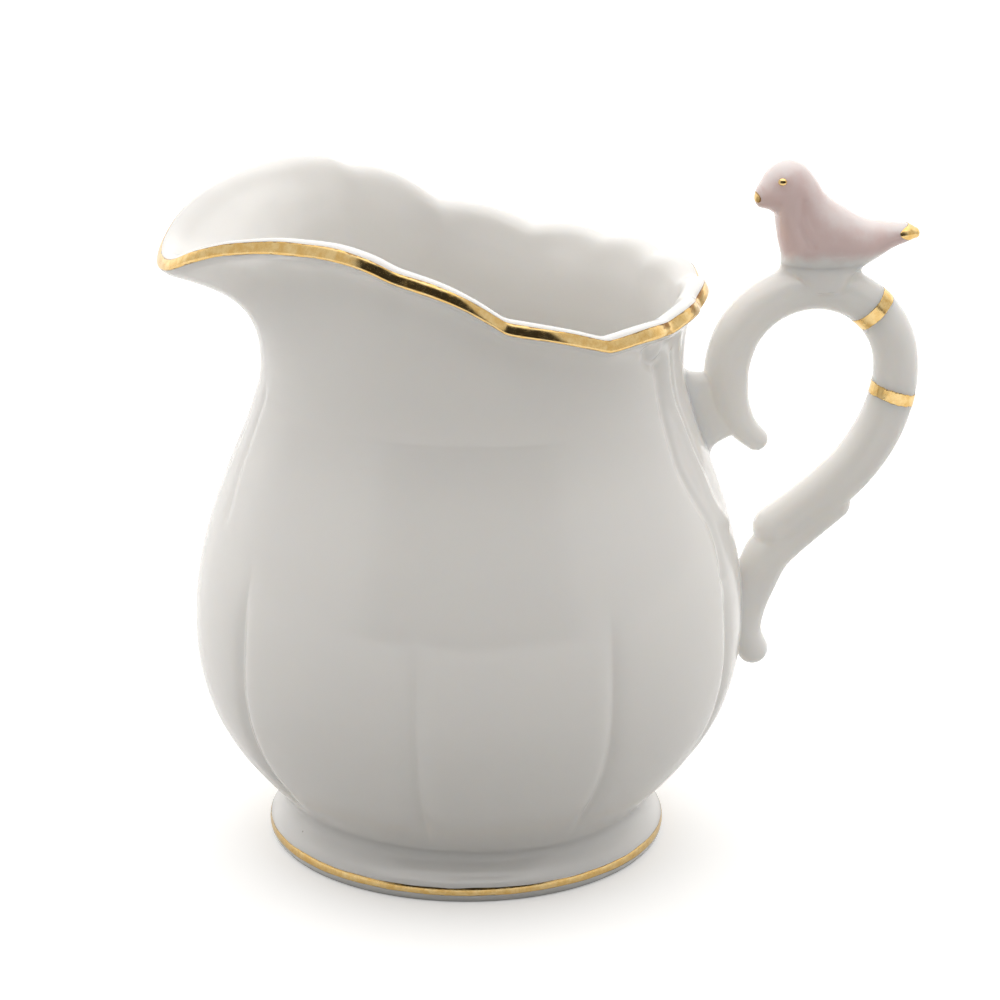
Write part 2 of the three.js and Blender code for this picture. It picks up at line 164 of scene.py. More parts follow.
# Each line of the rib with its push outwards and its width.
RIBS = [(RIB_LEFT, -0.4, 1.0), (RIB_CREST, 0.5, 1.5), (RIB_RIGHT, -0.35, 0.8), (RIB_SCROLL, -0.35, 0.8)]
RIB_RADIUS = 36
RIB_LOWEST = 45
RIB_FURTHEST = 60
RIB_BALL = (45.2, 85.8)
RIB_BALL_PUSH = 0.35
RIB_BALL_WIDTH = 1.4
# The shallow fold under the pouring lip: degrees from the handle, height.
LIP_FOLD = [(172, 76), (173.5, 70), (173, 64), (170, 57)]
LIP_FOLD_DEPTH = 0.15
LIP_FOLD_WIDTH = 1.2
LIP_FOLD_NEAREST = 160
LIP_FOLD_LOWEST = 50

# ---- Handle and bird --------------------------------------------------------------------------

RING_CENTRE = (55.2, 74.5)
RING_RADIUS = 13.75
ROD_RADIUS = 3.6
CURL = [(46.5, 63.4, 1.9), (44.3, 65.6, 2.3), (42.5, 68.8, 2.9), (41.6, 72, 3.4)]
RING_ANGLES = [172, 150, 128, 106, 84, 62, 40, 18, -4]
LOWER_LIMB = [
    (68.1, 68.6, 3.7), (66, 63.4, 3.8), (62.6, 58.4, 3.8), (58.3, 54.3, 3.8), (53.9, 50.9, 3.7),
    (50, 48.3, 3.6),
]
LOWER_SCROLL = [
    (59.5, 51.9, 2.7), (56.2, 49.6, 3), (52.4, 46.7, 3.2), (48.9, 43.9, 3.7), (47.2, 39.4, 3.2),
    (45.8, 35, 2.9), (45.4, 31, 2.7), (46.8, 27.7, 2.5),
]
LUG = [(30, 67.2, 8, 2.8), (33, 67.6, 7.6, 2.5), (38, 68.5, 6.4, 2.1), (43, 69.4, 4.8, 1.8)]
LUG_BLEND = 0.35
SCROLL_BLEND = 0.5
# Each gold band's angle on the ring and its width.
BANDS = {"handle_band_upper": (46, 2.2), "handle_band_lower": (-18, 2.0)}
BAND_CELL = 0.17
BAND_MARGIN = 1.6
BAND_SIDE = 4.4

# The fillet where the handle is luted to the body, and how far it runs on under the body's skin.
LUTING = 2.4
LUTING_INSET = 0.02
LUTING_MARGIN = 0.4
SUNK = 0.8

# The bird, beak to tail: a point on its back, the point under it, and the half width there.
BIRD = [
    (46.1, 104.9, 46.2, 101.7, 1.9), (47.2, 107.1, 47.6, 101.1, 3), (48.9, 108.6, 48.6, 100.2, 3.6),
    (50.9, 109, 48.8, 98.9, 3.9), (53, 108.1, 49, 97.2, 4), (54.8, 106, 49.3, 95.6, 4.2),
    (56.2, 103.8, 49.8, 93.8, 4.5), (57.7, 102.4, 50.4, 91.8, 4.8), (59.6, 101.2, 54, 91, 4.9),
    (61.5, 100, 58, 91, 4.7), (63.4, 99.1, 61.8, 91.2, 4.1), (65.5, 98.7, 64.6, 92.5, 3.3),
    (67.8, 98.4, 67.4, 94.2, 2.7), (70, 98, 69.6, 95.1, 2.3), (71.3, 97.3, 71, 95.7, 1.6),
]
BEAK_CAP = 0.6
TAIL_CAP = 0.7
BIRD_SAMPLES = 140
BEAK = [(47.5, 103.6, 2.1), (46.7, 102.95, 1.25)]
BEAK_BLEND = 0.9
BIRD_BASE = 92.5
WING_FOLD = [(52.1, 103), (52.0, 100.6), (52.8, 98.2), (53.9, 96.2)]
WING_FOLD_DEPTH = 0.32
WING_FOLD_WIDTH = 0.75
WING_FOLD_SIDE = (1.5, 2.5)
# The white pad between the bird and the rod: front, back, half width and height of each layer.
PERCH = [
    (51.6, 61, 3.95, 88), (51.2, 61.5, 4.1, 89), (50.6, 62.1, 4.15, 91), (50.4, 64, 4.2, 93.5),
]
# Nothing of the perch or the bird lies below this height.
PERCH_LEVEL = 84
PERCH_BLEND = 1.2
# The crease under the perch grows from the middle to its sides, and the fillet there shrinks.
PERCH_CREASE = 0.16
PERCH_CREASE_WIDTH = 0.45
PERCH_SIDE = (0.8, 2.6)
PERCH_FILLET = 2.1
PERCH_FILLET_LOSS = 1.8
# The handle and the bird share one skin: each dips under the other's past the seam.
SEAM = 2.4
DIP = 0.05

EYE = (48.9, 106.3)
EYE_RADIUS = 0.68
EYE_ROUND = 28
EYE_ROWS = 19
# The eye's section, middle to edge to back, as shares of its radius.
EYE_PROFILE = [
    (0.02, 0.36), (0.3, 0.34), (0.6, 0.26), (0.85, 0.12), (1.0, -0.05), (0.9, -0.3), (0.02, -0.35),
]
# The beak's gilding is a ball over its tip: centre, spread to the sides and radius.
BEAK_GOLD = (46.0, 103.2)
BEAK_GOLD_SPREAD = 1.8
BEAK_GOLD_RADIUS = 0.98

# ---- Looks ------------------------------------------------------------------------------------

GLAZE_WARM = (0.925, 0.91, 0.885, 1)
GLAZE_COOL = (0.915, 0.904, 0.885, 1)
GLAZE_SPECK = (0.33, 0.27, 0.2, 1)
PINK = (0.83, 0.655, 0.635, 1)
# The paler pink: partly random mottle, partly painted light on faces that look up.
PINK_PALE = (0.9, 0.82, 0.81, 1)
# How much of the light goes into each glaze, and how deep.
BODY_LIGHT = (0.35, 2.5)
HANDLE_LIGHT = (0.8, 4)
BIRD_LIGHT = (0.5, 2.5)
# Heights in metres between which the pink wash begins.
PINK_WASH = (0.0926, 0.0952)

GOLD_DEEP = (0.78, 0.5, 0.17, 1)
GOLD_BRIGHT = (0.9, 0.67, 0.32, 1)
GOLD_BROWN = (0.3, 0.17, 0.06, 1)
GOLD_PIT = (0.12, 0.07, 0.03, 1)

PAPER_DARK = (0.94, 0.94, 0.94, 1)
PAPER_PALE = (0.96, 0.96, 0.955, 1)
WHITE = (1, 1, 1, 1)
# The floor as it lights the jug, and its own weak glow, which only the camera sees.
FLOOR_BOUNCE = (0.47, 0.47, 0.465, 1)
FLOOR_GLOW = 0.25

# The room's light by direction: overhead, behind the camera's target, beside it, and in the dark
# opening on the camera's side, which is OPENING_HALF_ANGLE wide to each side and OPENING_TOP high.
CEILING = 1.75
WALL_BEHIND = 1.35
WALL_BESIDE = 0.73
BEHIND_TO_BESIDE = (-0.8, -0.1)
OPENING = 0.04
OPENING_HALF_ANGLE = 45
OPENING_TOP = 50
SOFT_EDGE = 7
ROOM_TINT = (1, 0.982, 0.958, 1)

# ---- Curves -----------------------------------------------------------------------------------


def catmull(points, places):
    """Reads the smooth curve through points at places, which run from 0 to the last point's number."""
    points = np.asarray(points, float)
    padded = np.vstack([points[:1], points, points[-1:]])
    i = np.clip(np.floor(places).astype(int), 0, len(points) - 2)
    t = (np.asarray(places) - i)[:, None]
    before, start, end, after = (padded[i + k] for k in range(4))
    out, back = (end - before) / 2, (after - start) / 2
    squared = 3 * (end - start) - 2 * out - back
    cubed = 2 * (start - end) + out + back
    return start + t * (out + t * (squared + t * cubed))


def bezier(corners, t):
    """The curve of four corners, read at the shares t."""
    a, b, c, d = (np.asarray(corner) for corner in corners)
    return (1 - t) ** 3 * a + 3 * t * (1 - t) ** 2 * b + 3 * t * t * (1 - t) * c + t ** 3 * d


def sampled(points, step):
    """The smooth curve through points, read about every `step` of length in its first two numbers."""
    fine = catmull(points, np.linspace(0, len(points) - 1, 40 * len(points)))
    return respaced(fine, step)


def respaced(fine, step=None, count=None):
    """A finely drawn line read again at even spaces: `count` points, or one about every `step`."""
    lengths = np.r_[0, np.cumsum(np.hypot(*np.diff(fine[:, :2], axis=0).T))]
    count = count or max(int(round(lengths[-1] / step)), 2) + 1
    even = np.linspace(0, lengths[-1], count)
    return np.stack([np.interp(even, lengths, column) for column in fine.T], axis=1)


def softened(rows, passes):
    """Rounds off the corners of a row of points and leaves its ends in place."""
    for _ in range(passes):
        rows[1:-1] = (rows[:-2] + 2 * rows[1:-1] + rows[2:]) / 4
    return rows


def smooth(value, low, high):
    """0 below low, 1 above high and a soft step between them."""
    t = np.clip((value - low) / (high - low), 0, 1)
    return t * t * (3 - 2 * t)


def distance_to(line, x, y):
    """Distance from each (x, y) to a drawn line of points."""
    flat = np.stack([np.ravel(x), np.ravel(y)], axis=1)
    best = np.full(len(flat), np.inf)
    for a, b in zip(line[:-1], line[1:]):
        along = b - a
        t = np.clip((flat - a) @ along / (along @ along), 0, 1)
        best = np.minimum(best, np.hypot(*(flat - a - t[:, None] * along).T))
    return best.reshape(np.shape(x))


def place(points):
    """Millimetres in the jug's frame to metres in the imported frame."""
    return (np.asarray(points) + [AXIS_X, 0, 0]) * MM


# ---- Meshes -----------------------------------------------------------------------------------


def make_piece(name, points, faces, material, nodes, normals=None, layers=None):
    """A smooth-shaded piece from millimetre points and faces of one size, riding on the jug."""
    points, faces = np.asarray(points), np.asarray(faces)
    mesh = bpy.data.meshes.new(name)
    mesh.vertices.add(len(points))
    mesh.vertices.foreach_set("co", place(points).astype(np.float32).ravel())
    mesh.loops.add(faces.size)
    mesh.loops.foreach_set("vertex_index", faces.astype(np.int32).ravel())
    mesh.polygons.add(len(faces))
    mesh.polygons.foreach_set("loop_start", np.arange(0, faces.size, faces.shape[1], dtype=np.int32))
    mesh.update(calc_edges=True)
    mesh.validate(clean_customdata=False)
    mesh.shade_smooth()
    for layer, values in (layers or {}).items():
        attribute = mesh.attributes.new(layer, "FLOAT", "POINT")
        attribute.data.foreach_set("value", np.asarray(values, np.float32))
    if normals is not None:
        mesh.normals_split_custom_set_from_vertices(normals.tolist())
    mesh.materials.append(material)
    piece = bpy.data.objects.new(name, mesh)
    bpy.context.scene.collection.objects.link(piece)
    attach(piece, "root")
    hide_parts(*nodes)
    return piece


def lattice(rings, closed_rows=False):
    """Faces of a grid of rings: rings[i, j] is the number of the point at row i and angle j."""
    rows, around = rings.shape
    below = rings if closed_rows else rings[:-1]
    above = np.roll(rings, -1, axis=0) if closed_rows else rings[1:]
    quads = np.stack([below, np.roll(below, -1, 1), np.roll(above, -1, 1), above], axis=-1)
    return quads.reshape(-1, 4)


# ---- Section of the jug's wall ------------------------------------------------------------------


def turn_of(angles):
    """Degrees from the handle, on either side."""
    return np.abs((angles + 180) % 360 - 180)


def rim_line(angles):
    """Radius and height of the rim at each angle, its cusps a little softened."""
    turn = turn_of(angles)
    rim = np.empty((len(turn), 2))
    cusps = np.array(RIM_CUSPS)
    number = np.clip(np.searchsorted(cusps[:, 0], turn, "right") - 1, 0, len(cusps) - 2)
    share = (turn - cusps[number, 0]) / (cusps[number + 1, 0] - cusps[number, 0])
    arc = np.sin(np.pi * np.clip(share, 0, 1))
    for k in (0, 1):
        start, end = cusps[number, k + 1], cusps[number + 1, k + 1]
        rim[:, k] = start + (end - start) * share + cusps[number, k + 3] * arc
    sweep = np.array(LIP_SWEEP)
    swept = turn >= sweep[0, 0]
    places = np.interp(turn, sweep[:, 0], np.arange(len(sweep)))
    rim[swept] = catmull(sweep, places[swept])[:, 1:]
    for _ in range(RIM_SOFTENING):
        rim = (np.roll(rim, 1, 0) + 2 * rim + np.roll(rim, -1, 0)) / 4
    return rim


def outer_rows(angle, rim, rows):
    """The wall's outer line at one angle, foot to flare, as rows of (radius, height)."""
    facing = math.cos(math.radians(angle))
    low = catmull(OUTLINE, np.linspace(0, len(OUTLINE) - 1, OUTLINE_SAMPLES))
    low[:, 0] += NECK_LEAN * low[:, 1] / NECK_HEIGHT * facing
    pour = smooth(turn_of(angle), LIP_START, 180)
    neck = NECK_RADIUS + NECK_LEAN * facing
    radius, height = rim
    flare = bezier([
        (neck, NECK_HEIGHT),
        (neck - FLARE_LOW_POUR[0] * pour, height - FLARE_LOW_DROP - FLARE_LOW_POUR[1] * pour),
        (radius - FLARE_HIGH[0] - FLARE_HIGH_POUR[0] * pour,
         height - FLARE_HIGH[1] - FLARE_HIGH_POUR[1] * pour),
        (radius + RIM_EDGE[0][0], height + RIM_EDGE[0][1]),
    ], np.linspace(0, 1, FLARE_SAMPLES)[:, None])
    return softened(respaced(np.vstack([low, flare]), count=rows), WALL_SOFTENING)


def grooves_and_ribs(turn, height, radius):
    """How far the outer surface is pushed out at each place, in millimetres."""
    arc = np.radians(1) * radius
    push = np.zeros_like(height)
    for at, (foot, low, high, end) in zip(GROOVES, GROOVE_ENDS):
        strength = smooth(height, foot, low) * (1 - smooth(height, high, end))
        across = np.abs(turn - at) * arc
        push -= GROOVE_DEPTH * strength * np.exp(-((across / GROOVE_WIDTH) ** GROOVE_SHARPNESS))
    degree = RIB_RADIUS * np.radians(1)
    near = (height > RIB_LOWEST) & (turn < RIB_FURTHEST)
    for points, depth, width in RIBS:
        line = sampled([(a * degree, z) for a, z in points], 1.0)
        away = distance_to(line, turn[near] * degree, height[near])
        push[near] += depth * np.exp(-((away / width) ** 2))
    ball = np.hypot((turn[near] - RIB_BALL[0]) * degree, height[near] - RIB_BALL[1])
    push[near] += RIB_BALL_PUSH * np.exp(-((ball / RIB_BALL_WIDTH) ** 2))
    fold = sampled([(a * degree, z) for a, z in LIP_FOLD], 1.0)
    lip = (turn > LIP_FOLD_NEAREST) & (height > LIP_FOLD_LOWEST)
    away = distance_to(fold, turn[lip] * degree, height[lip])
    push[lip] -= LIP_FOLD_DEPTH * np.exp(-((away / LIP_FOLD_WIDTH) ** 2))
    return push


def wall_grid():
    """Rows of the outer wall, the rim's edge and the inner wall: arrays of (row, angle, xyz)."""
    angles = np.arange(ROUND) * 360 / ROUND
    rims = rim_line(angles)
    outer_count = int(WALL_LENGTH / ROW_LENGTH)
    edge = sampled(RIM_EDGE, RIM_EDGE_STEP)[1:]
    outer = np.empty((outer_count, ROUND, 2))
    for j, angle in enumerate(angles):
        outer[:, j] = outer_rows(angle, rims[j], outer_count)
    ahead = np.gradient(outer, axis=0)
    ahead /= np.linalg.norm(ahead, axis=-1, keepdims=True)
    outward = np.stack([ahead[..., 1], -ahead[..., 0]], axis=-1)
    turn = np.broadcast_to(turn_of(angles), outer.shape[:2])
    push = grooves_and_ribs(turn, outer[..., 1], outer[..., 0])
    share = np.linspace(0, 1, outer_count)[:, None]
    wall = WALL + (RIM_THICKNESS - WALL) * smooth(share, RIM_THINNING, 1)
    inner = outer - outward * wall[..., None]
    edges = np.concatenate([rims + edge[:, None], inner_lip(rims, inner, ahead)])
    inner = inner[:-int(LIP_DEPTH / ROW_LENGTH) - 1]
    outer = outer + outward * push[..., None]
    return angles, outer, edges, inner


def inner_lip(rims, inner, ahead):
    """Rows that roll from the top of the rim over into the inner wall."""
    joint = len(inner) - int(LIP_DEPTH / ROW_LENGTH) - 1
    start, end = rims + RIM_EDGE[-1], inner[joint]
    reach = LIP_FULLNESS * np.linalg.norm(end - start, axis=-1, keepdims=True)
    corners = (start, start + reach * [-1, 0], end + reach * ahead[joint], end)
    return bezier(corners, np.linspace(0, 1, LIP_ROWS + 2)[1:-1, None, None])


def spun(section, angles):
    """(radius, height) rows at each angle to x, y, z."""
    turn = np.radians(angles)
    radius, height = section[..., 0], section[..., 1]
    return np.stack([radius * np.cos(turn), radius * np.sin(turn), height], axis=-1)


def grid_normals(points):
    """Outward normals of a grid of (row, angle, xyz)."""
    along = np.gradient(points, axis=0)
    around = np.roll(points, -1, 1) - np.roll(points, 1, 1)
    normals = np.cross(around, along)
    return normals / np.maximum(np.linalg.norm(normals, axis=-1, keepdims=True), 1e-9)


def inner_floor(inside):
    """The cove from the inner wall's last row down to the floor, and the rings of the flat floor."""
    drop = inside[-1:]
    level = np.full_like(drop[..., 0], FLOOR_HEIGHT)
    corner = np.stack([drop[..., 0] - COVE_CORNER, level], axis=-1)
    end = np.stack([drop[..., 0] - COVE_WIDTH, level], axis=-1)
    t = np.linspace(0, 1, COVE_ROWS)[1:, None, None]
    cove = (1 - t) ** 2 * drop + 2 * t * (1 - t) * corner + t ** 2 * end
    shrink = np.array(FLOOR_RINGS)[:, None]
    flat = np.stack([end[0, :, 0] * shrink, np.full((len(shrink), ROUND), FLOOR_HEIGHT)], axis=-1)
    return cove, flat


def make_body_and_foot(white, gold):
    angles, outer, edges, inner = wall_grid()
    split = int(np.argmax(outer[:, 0, 1] > FOOT_TOP))
    inside = inner[inner[:, 0, 1] > FLOOR_HEIGHT + COVE_HEIGHT][::-1]
    cove, flat = inner_floor(inside)
    skin = softened_edge(np.concatenate([outer, edges, inside, cove, flat]), len(outer), len(edges))
    points = spun(skin, angles)
    normals = grid_normals(points)
    make_body(points[split:], normals[split:], white)
    make_foot(points[:split + 1], normals[:split + 1], angles, white)
    make_rim_gold(points, normals, len(outer), len(edges), angles, gold)
    make_foot_gold(points, normals, split, gold)


def softened_edge(skin, outer_count, edge_count):
    """Rounds the joints between the outer wall, the rim's edge and the inner wall."""
    start, end = outer_count - EDGE_REACH, outer_count + edge_count + EDGE_REACH
    skin[start:end] = softened(skin[start:end].copy(), EDGE_SOFTENING)
    return skin


def make_body(grid, normals, white):
    """The wall above the foot, closed under the body and in the middle of the floor inside."""
    bottom = grid[:1] * [UNDERSIDE_RING, UNDERSIDE_RING, 1]
    points = np.concatenate([bottom, grid]).reshape(-1, 3)
    rings = np.arange(len(points)).reshape(-1, ROUND)
    down = np.broadcast_to([0, 0, -1.0], (1, ROUND, 3))
    all_normals = np.concatenate([down, normals]).reshape(-1, 3)
    close_low, close_high = centre_fans(points, rings)
    points = np.vstack([points, points[rings[0]].mean(0), points[rings[-1]].mean(0)])
    all_normals = np.vstack([all_normals, [0, 0, -1], [0, 0, 1]])
    faces = np.vstack([lattice(rings), close_low, close_high])
    make_piece("jug_body", points, faces, white, ["jug_body"], all_normals)


def centre_fans(points, rings):
    """Flat quads that close the first and last ring round two extra centre points."""
    low, high = len(points), len(points) + 1
    first, last = rings[0], rings[-1]
    even = np.arange(0, ROUND, 2)
    a, b, c = (first[(even + k) % ROUND] for k in range(3))
    low_fan = np.stack([np.full(len(even), low), c, b, a], axis=1)
    a, b, c = (last[(even + k) % ROUND] for k in range(3))
    high_fan = np.stack([np.full(len(even), high), a, b, c], axis=1)
    return low_fan, high_fan


def make_foot(grid, normals, angles, white):
    """The foot ring: the wall's lowest rows outside, and a recess inside."""
    top = (RECESS_TOP_RADIUS, grid[-1, :, 2].mean())
    section = catmull([top] + FOOT_RECESS, np.linspace(0, len(FOOT_RECESS), RECESS_ROWS))
    recess = spun(np.repeat(section[:, None], ROUND, axis=1), angles)
    rows = np.concatenate([grid, recess])
    rings = np.arange(len(rows) * ROUND).reshape(len(rows), ROUND)
    all_normals = np.concatenate([normals, grid_normals(recess)])
    make_piece("foot_ring", rows.reshape(-1, 3), lattice(rings, True), white, ["foot_ring"],
               all_normals.reshape(-1, 3))


def ribbon(name, face, out, edge_share, gold, nodes):
    """A thin gilded band laid over rows of a surface: its face stands proud and its back is sunk."""
    count = len(face)
    share = np.linspace(0, 1, count)
    dome = GOLD_PROUD * np.clip(np.minimum(share, 1 - share) * count / 2, 0, 1) ** 0.5
    front = face + out * dome[:, None, None]
    back = (face - out * GOLD_DEPTH)[::-1]
    rows = np.concatenate([front, back])
    rings = np.arange(len(rows) * ROUND).reshape(len(rows), ROUND)
    border = np.concatenate([edge_share, np.ones(count)])[:, None] * np.ones(ROUND)
    normals = np.concatenate([out, -out[::-1]])
    make_piece(name, rows.reshape(-1, 3), lattice(rings, True), gold, nodes,
               normals.reshape(-1, 3), {"border": border.ravel()})


def banded(points, normals, heights, low, high, count):
    """`count` rows of a surface read between two heights at every angle."""
    face = np.empty((count, ROUND, 3))
    out = np.empty_like(face)
    shares = np.linspace(0, 1, count)
    for j in range(ROUND):
        want = low[j] + (high[j] - low[j]) * shares
        for k in range(3):
            face[:, j, k] = np.interp(want, heights[:, j], points[:, j, k])
            out[:, j, k] = np.interp(want, heights[:, j], normals[:, j, k])
    out /= np.linalg.norm(out, axis=-1, keepdims=True)
    return face, out, np.abs(2 * shares - 1)


def wavering(amount, seed):
    """A hand-painted edge's slow wander round the jug."""
    draw = np.random.default_rng(seed)
    turn = np.radians(np.arange(ROUND) * 360 / ROUND)
    return amount * sum(
        draw.uniform(0.3, 1) * np.sin(n * turn + draw.uniform(0, 6.28)) / 2 for n in (3, 7, 12, 19, 31)
    )


def make_rim_gold(points, normals, outer_count, edge_count, angles, gold):
    rows = slice(outer_count - RIM_GOLD_START, outer_count + edge_count - LIP_ROWS - 1)
    heights = np.maximum.accumulate(points[rows, :, 2] - rim_line(angles)[:, 1], axis=0)
    low = RIM_GOLD[0] + wavering(RIM_GOLD_WANDER[0], 1)
    high = RIM_GOLD[1] + wavering(RIM_GOLD_WANDER[1], 2)
    face, out, share = banded(points[rows], normals[rows], heights, low, high, RIM_GOLD_ROWS)
    ribbon("rim_gilding", face, out, share, gold, ["rim_gilding"])


def make_foot_gold(points, normals, split, gold):
    rows = slice(0, split)
    low = FOOT_GOLD[0] + wavering(FOOT_GOLD_WANDER[0], 3)
    high = FOOT_GOLD[1] + wavering(FOOT_GOLD_WANDER[1], 4)
    heights = points[rows, :, 2]
    face, out, share = banded(points[rows], normals[rows], heights, low, high, FOOT_GOLD_ROWS)
    ribbon("foot_gilding", face, out, share, gold, ["foot_gilding"])


# ---- Fields: negative inside, about millimetres -------------------------------------------------


def blend(a, b, reach):
    """The union of two fields with a fillet of that reach."""
    share = np.clip(0.5 + 0.5 * (b - a) / reach, 0, 1)
    return b + (a - b) * share - reach * share * (1 - share)


def rod_field(line, x, y, z):
    """A round rod along a drawn line of (x, z, radius) in the plane y = 0."""
    shape = np.shape(x)
    flat = np.stack([np.ravel(x), np.ravel(z)], axis=1)
    away = ((flat[:, None] - line[None, :, :2]) ** 2).sum(-1)
    i = np.clip(away.argmin(1), 1, len(line) - 2)
    rows = np.arange(len(flat))
    before, here, after = (away[rows, i + k] for k in (-1, 0, 1))
    u = np.clip((before - after) / np.maximum(2 * (before - 2 * here + after), 1e-9), -1, 1)[:, None]
    slope = line[i + 1] - line[i - 1]
    bend = line[i + 1] - 2 * line[i] + line[i - 1]
    near = line[i] + u * slope / 2 + u * u * bend / 2
    flat_distance = np.hypot(*(flat - near[:, :2]).T)
    return np.hypot(flat_distance.reshape(shape), y) - near[:, 2].reshape(shape)


def lug_field(x, y, z):
    """A beam of oval section from the neck to the ring."""
    line = np.array(LUG)
    centre, tall, wide = (np.interp(x, line[:, 0], line[:, k]) for k in (1, 2, 3))
    past = np.maximum(np.abs(z - centre) - (tall - wide), 0)
    return np.maximum(np.hypot(past, y) - wide, x - LUG[-1][0])


def oval_field(across, up, half_across, half_up, past=0, cap=1):
    """Distance to an oval, with an optional third axis for a rounded end."""
    k = np.sqrt((across / half_across) ** 2 + (up / half_up) ** 2 + (past / cap) ** 2)
    slope = np.sqrt((across / half_across ** 2) ** 2 + (up / half_up ** 2) ** 2 + (past / cap ** 2) ** 2)
    return np.where(k < 1e-3, -np.minimum(half_across, half_up), k * (k - 1) / np.maximum(slope, 1e-6))


def perch_field(x, y, z):
    """A pad of oval layers under the bird."""
    layers = np.array(PERCH)
    front, back, wide = (np.interp(z, layers[:, 3], layers[:, k]) for k in (0, 1, 2))
    oval = oval_field(x - (front + back) / 2, y, (back - front) / 2, wide)
    return np.maximum(oval, np.maximum(PERCH[0][3] - z, z - PERCH[-1][3]))


def bird_field(x, y, z):
    """The bird's trunk, read from the oval section that each place lies in."""
    sections = catmull(BIRD, np.linspace(0, len(BIRD) - 1, BIRD_SAMPLES))
    shape = np.shape(x)
    flat = np.stack([np.ravel(x), np.ravel(z)], axis=1)
    back, under = sections[:, :2], sections[:, 2:4]
    down = under - back
    tall = np.hypot(*down.T)
    x_off = flat[:, None, 0] - back[None, :, 0]
    z_off = flat[:, None, 1] - back[None, :, 1]
    past = (z_off * down[:, 0] - x_off * down[:, 1]) / tall
    last = len(sections) - 1
    behind = np.where(past > 0, np.arange(last + 1), -1).max(1)
    i = np.clip(behind, 0, last - 1)
    rows = np.arange(len(flat))
    start, end = past[rows, i], past[rows, i + 1]
    t = np.clip(start / np.where(np.abs(start - end) < 1e-9, 1, start - end), 0, 1)[:, None]
    here = sections[i] + t * (sections[i + 1] - sections[i])
    centre = (here[:, :2] + here[:, 2:4]) / 2
    half = np.hypot(*(here[:, :2] - here[:, 2:4]).T) / 2
    axis = (here[:, :2] - here[:, 2:4]) / (2 * half[:, None])
    up = ((flat - centre) * axis).sum(1)
    before = np.maximum(-past[:, 0], 0)
    beyond = np.maximum(past[:, -1], 0)
    cap = np.where(before > 0, BEAK_CAP, TAIL_CAP)
    return oval_field(
        y, up.reshape(shape), here[:, 4].reshape(shape), half.reshape(shape),
        np.maximum(before, beyond).reshape(shape), cap.reshape(shape),
    )


def body_field(x, y, z):
    """The body's outer wall up to the flare, without its grooves."""
    line = np.array(OUTLINE + NECK_LINE)
    radius = np.hypot(x, y)
    lean = NECK_LEAN * z / NECK_HEIGHT * x / np.maximum(radius, 1)
    slope = np.gradient(line[:, 0]) / np.gradient(line[:, 1])
    steep = np.sqrt(1 + np.interp(z, line[:, 1], slope) ** 2)
    return (radius - np.interp(z, line[:, 1], line[:, 0]) - lean) / steep


def handle_lines():
    """The middle lines of the handle's two scrolls."""
    ring = [
        (RING_CENTRE[0] + RING_RADIUS * math.cos(math.radians(a)),
         RING_CENTRE[1] + RING_RADIUS * math.sin(math.radians(a)), ROD_RADIUS)
        for a in RING_ANGLES
    ]
    return sampled(CURL + ring + LOWER_LIMB, 0.8), sampled(LOWER_SCROLL, 0.8)


UPPER_LINE, LOWER_LINE = handle_lines()


def rods_field(x, y, z):
    upper = rod_field(UPPER_LINE, x, y, z)
    lower = rod_field(LOWER_LINE, x, y, z)
    return blend(blend(upper, lug_field(x, y, z), LUG_BLEND), lower, SCROLL_BLEND)


def figure_field(x, y, z):
    """The bird with its beak and the fold in front of its wing."""
    bird = bird_field(x, y, z)
    beak = rod_field(sampled(BEAK, 0.25), x, y, z)
    bird = blend(bird, beak, BEAK_BLEND)
    fold = distance_to(sampled(WING_FOLD, 1.0), x, z)
    groove = WING_FOLD_DEPTH * np.exp(-((fold / WING_FOLD_WIDTH) ** 2))
    return bird + groove * smooth(np.abs(y), *WING_FOLD_SIDE)


def handle_field(x, y, z):
    """Rods, lug, perch and bird as one glazed body."""
    high = z > PERCH_LEVEL
    field = rods_field(x, y, z)
    if np.any(high):
        place_high = (x[high], y[high], z[high])
        perch = blend(perch_field(*place_high), figure_field(*place_high), PERCH_BLEND)
        side = smooth(np.abs(y[high]), *PERCH_SIDE)
        away = (field[high] - perch) / PERCH_CREASE_WIDTH
        crease = PERCH_CREASE * side * np.exp(-(away ** 2))
        field[high] = blend(field[high], perch, PERCH_FILLET - PERCH_FILLET_LOSS * side) + crease
    return field


def luted_handle_field(x, y, z):
    """The handle with a fillet where it is luted to the body, cut off just under the body's skin."""
    handle, body = handle_field(x, y, z), body_field(x, y, z)
    joined = blend(handle, body, LUTING) + LUTING_INSET
    return np.maximum(joined, np.maximum(-body - SUNK, handle - LUTING - LUTING_MARGIN))


# ---- Skins of fields ----------------------------------------------------------------------------


